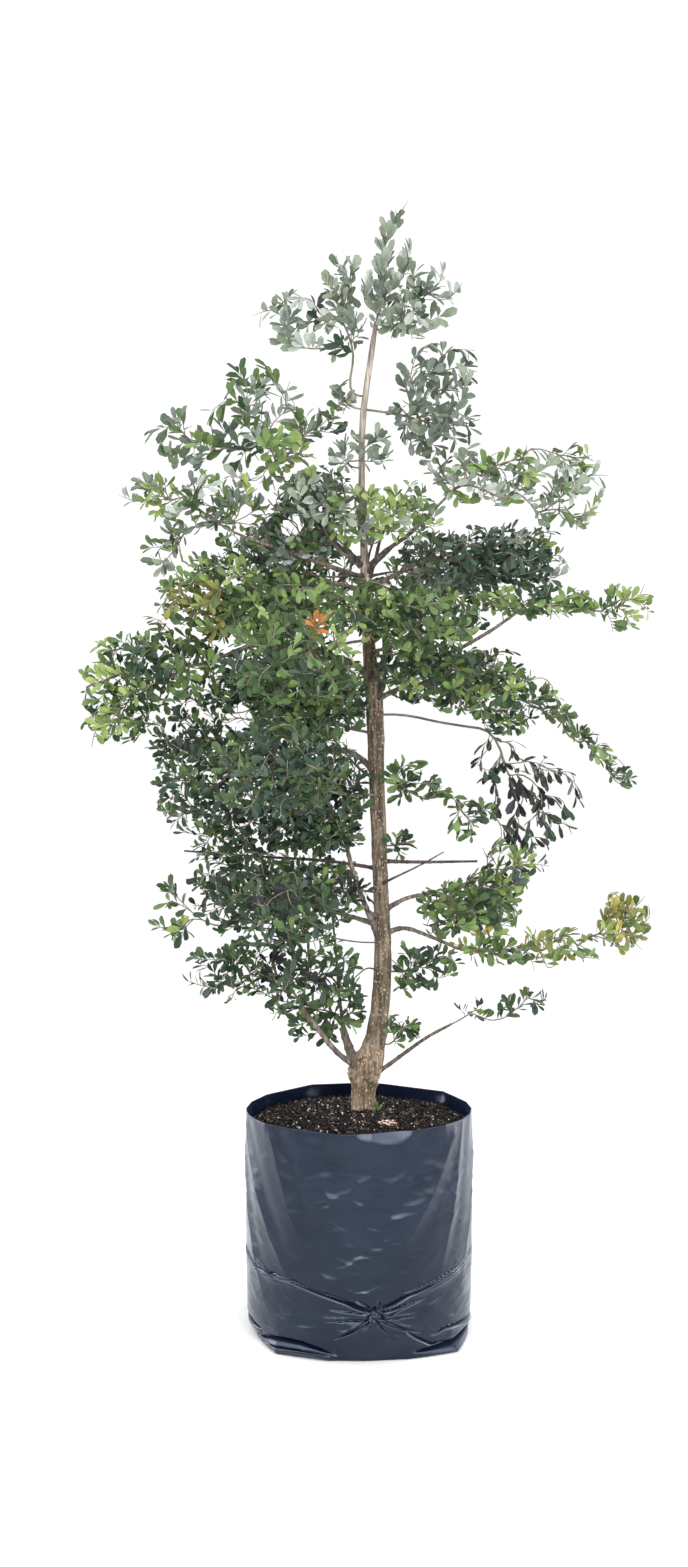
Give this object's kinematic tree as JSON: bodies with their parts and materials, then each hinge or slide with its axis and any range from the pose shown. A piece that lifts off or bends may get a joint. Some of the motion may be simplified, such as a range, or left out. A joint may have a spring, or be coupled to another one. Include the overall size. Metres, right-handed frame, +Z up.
{
  "type": "potted sapling tree",
  "caption": "Young evergreen broad-leaved tree with a thin bare-boled trunk and an open conical crown, standing in a soil-filled black nursery bag.",
  "frame": {"origin": "centre of the nursery bag's flat underside, on the ground", "axes": "+Z up along the tree; +X to the right and +Y away from a viewer who faces the pinched side of the bag"},
  "size_m": [0.9996, 0.7851, 1.9899],
  "materials": {
    "bag_film": "satin black polythene film",
    "potting_soil": "coarse dark bark mix",
    "bark": "rough brown-grey bark",
    "foliage": "leathery satin green leaves"
  },
  "bodies": {
    "root": {"back_low_left_leaves": "foliage", "back_mid_left_leaves": "foliage", "back_mid_right_leaves": "foliage", "back_upper_left_leaves": "foliage", "back_upper_right_leaves": "foliage", "bare_left_bough": "bark", "bare_right_bough": "bark", "centre_front_leaves": "foliage", "centre_top_leaves": "foliage", "far_left_bough": "bark", "far_left_leaves": "foliage", "front_mid_left_leaves": "foliage", "front_upper_left_leaves": "foliage", "hanging_dark_leaves": "foliage", "leader_spire_leaves": "foliage", "leader_tuft_high_leaves": "foliage", "leader_tuft_low_leaves": "foliage", "left_dense_low_leaves": "foliage", "left_dense_outer_leaves": "foliage", "left_dense_upper_leaves": "foliage", "left_lower_bough": "bark", "left_lower_leaves": "foliage", "left_mid_bough": "bark", "left_mid_leaves": "foliage", "left_outer_bough": "bark", "left_outer_spray_leaves": "foliage", "left_rising_bough": "bark", "low_left_bough": "bark", "low_left_riser": "bark", "low_tuft_right_leaves": "foliage", "lower_left_leaves": "foliage", "lowest_left_leaves": "foliage", "nursery_bag": "bag_film", "right_arm_lower_bough": "bark", "right_arm_lower_leaves": "foliage", "right_arm_upper_bough": "bark", "right_arm_upper_leaves": "foliage", "right_dark_bough": "bark", "right_dark_leaves": "foliage", "right_dark_small_leaves": "foliage", "right_low_bough": "bark", "right_low_spray_leaves": "foliage", "right_lower_bough": "bark", "right_lower_leaves": "foliage", "right_small_leaves": "foliage", "right_tip_bough": "bark", "right_tip_leaves": "foliage", "root_ball": "potting_soil", "top_left_leaves": "foliage", "top_right_leaves": "foliage", "trunk": "bark", "trunk_tuft_right_leaves": "foliage", "upper_left_bough": "bark", "upper_left_inner_leaves": "foliage", "upper_left_leaves": "foliage", "upper_left_outer_bough": "bark", "upper_left_outer_leaves": "foliage", "upper_right_arm_leaves": "foliage", "upper_right_bough": "bark", "upper_right_small_leaves": "foliage"}
  },
  "joints": []
}
